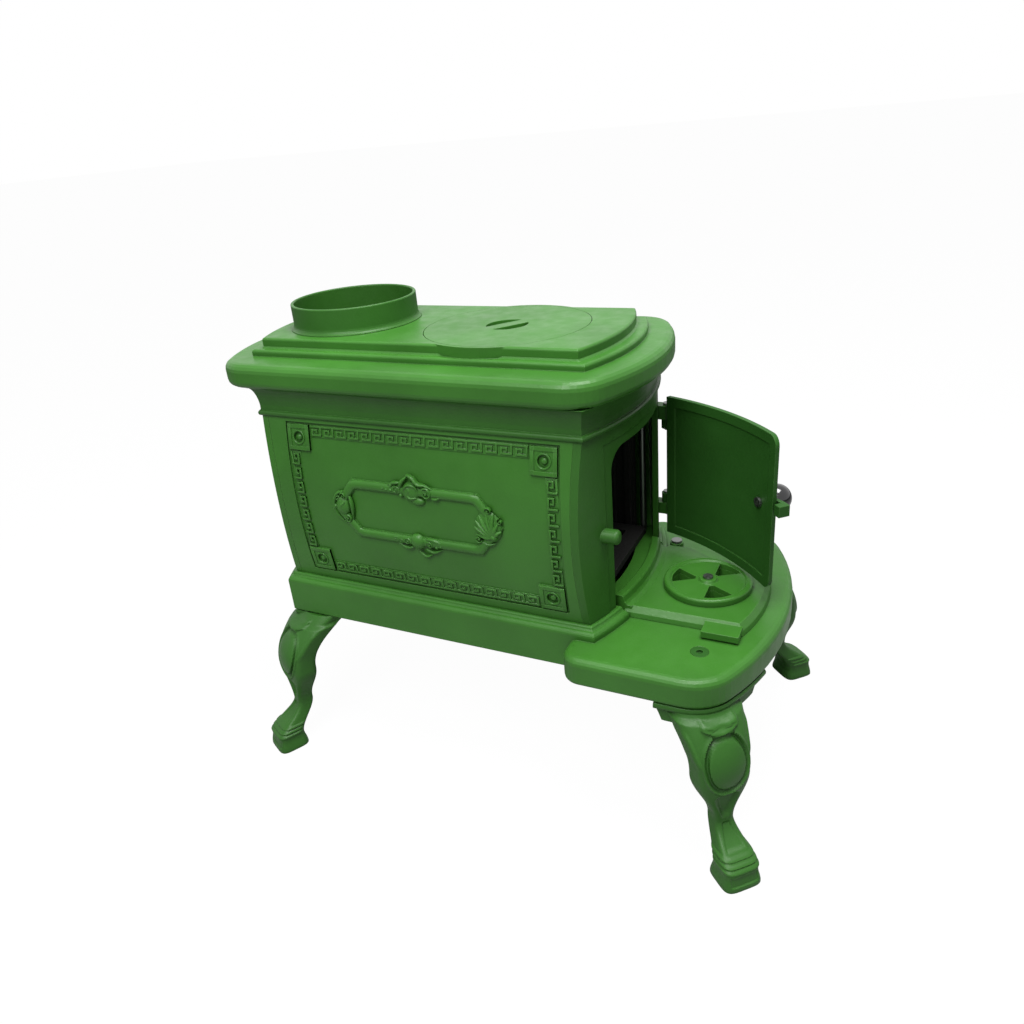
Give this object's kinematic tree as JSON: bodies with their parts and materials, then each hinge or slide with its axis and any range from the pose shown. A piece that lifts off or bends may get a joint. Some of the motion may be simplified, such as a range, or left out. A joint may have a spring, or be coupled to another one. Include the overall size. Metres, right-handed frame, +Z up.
{
  "type": "wood stove",
  "caption": "Cast-iron box heating stove with a hinged bowed fire door, a lift-off cook lid, a flue collar and a front hearth with a swivelling ash lid and draft wheel, on cabriole legs.",
  "frame": {"origin": "on the floor, at the middle of the overall length and width", "axes": "+Z is up along the flue, -Y is the side of the fire door and the hearth, +X is the door's hinge side"},
  "size_m": [0.455, 0.7188, 0.594],
  "materials": {
    "green_paint": "satin green paint on cast iron",
    "dark_paint": "satin dark green paint",
    "bare_iron": "sooty cast iron",
    "steel": "plain steel",
    "knob_black": "glossy black"
  },
  "bodies": {
    "stove": {"hearth_base": "green_paint", "side_panel_left": "green_paint", "side_panel_right": "green_paint", "front_plate": "green_paint", "back_plate": "green_paint", "top_frame": "green_paint", "top_plate": "green_paint", "flue_collar": "green_paint", "door_hinge_pins": "steel", "ash_lid_pivot": "steel", "leg_front_left": "green_paint", "leg_front_right": "green_paint", "leg_rear_left": "green_paint", "leg_rear_right": "green_paint", "leg_screws": "dark_paint", "grate": "bare_iron", "liner_left": "bare_iron", "liner_right": "bare_iron", "liner_back": "bare_iron", "tie_rods": "steel", "tie_nuts": "steel"},
    "fire_door": {"fire_door": "dark_paint"},
    "door_latch": {"door_latch": "dark_paint", "latch_spindle": "steel", "door_knob": "knob_black"},
    "ash_lid": {"ash_lid": "green_paint", "draft_rivet": "steel"},
    "draft_wheel": {"draft_wheel": "green_paint"},
    "cook_lid": {"cook_lid": "green_paint"}
  },
  "joints": [
    {"name": "fire_door_hinge", "type": "hinge", "parent": "stove", "child": "fire_door", "pos_m": [0.105, -0.16957, 0.355], "axis": [0, 0, 1], "range_deg": [-53, 60]},
    {"name": "latch_turn", "type": "hinge", "parent": "fire_door", "child": "door_latch", "pos_m": [0.00863, -0.30793, 0.363], "axis": [-0.6688, 0.7435, 0], "range_deg": [0, 12]},
    {"name": "ash_lid_swivel", "type": "hinge", "parent": "stove", "child": "ash_lid", "pos_m": [0.097, -0.18476, 0.24], "axis": [0, 0, 1], "range_deg": [0, 75]},
    {"name": "draft_wheel_turn", "type": "hinge", "parent": "ash_lid", "child": "draft_wheel", "pos_m": [0, -0.24976, 0.25], "axis": [0, 0, 1], "continuous": true},
    {"name": "cook_lid_lift", "type": "slide", "parent": "stove", "child": "cook_lid", "axis": [0, 0, 1], "range_m": [0, 0.06]}
  ]
}
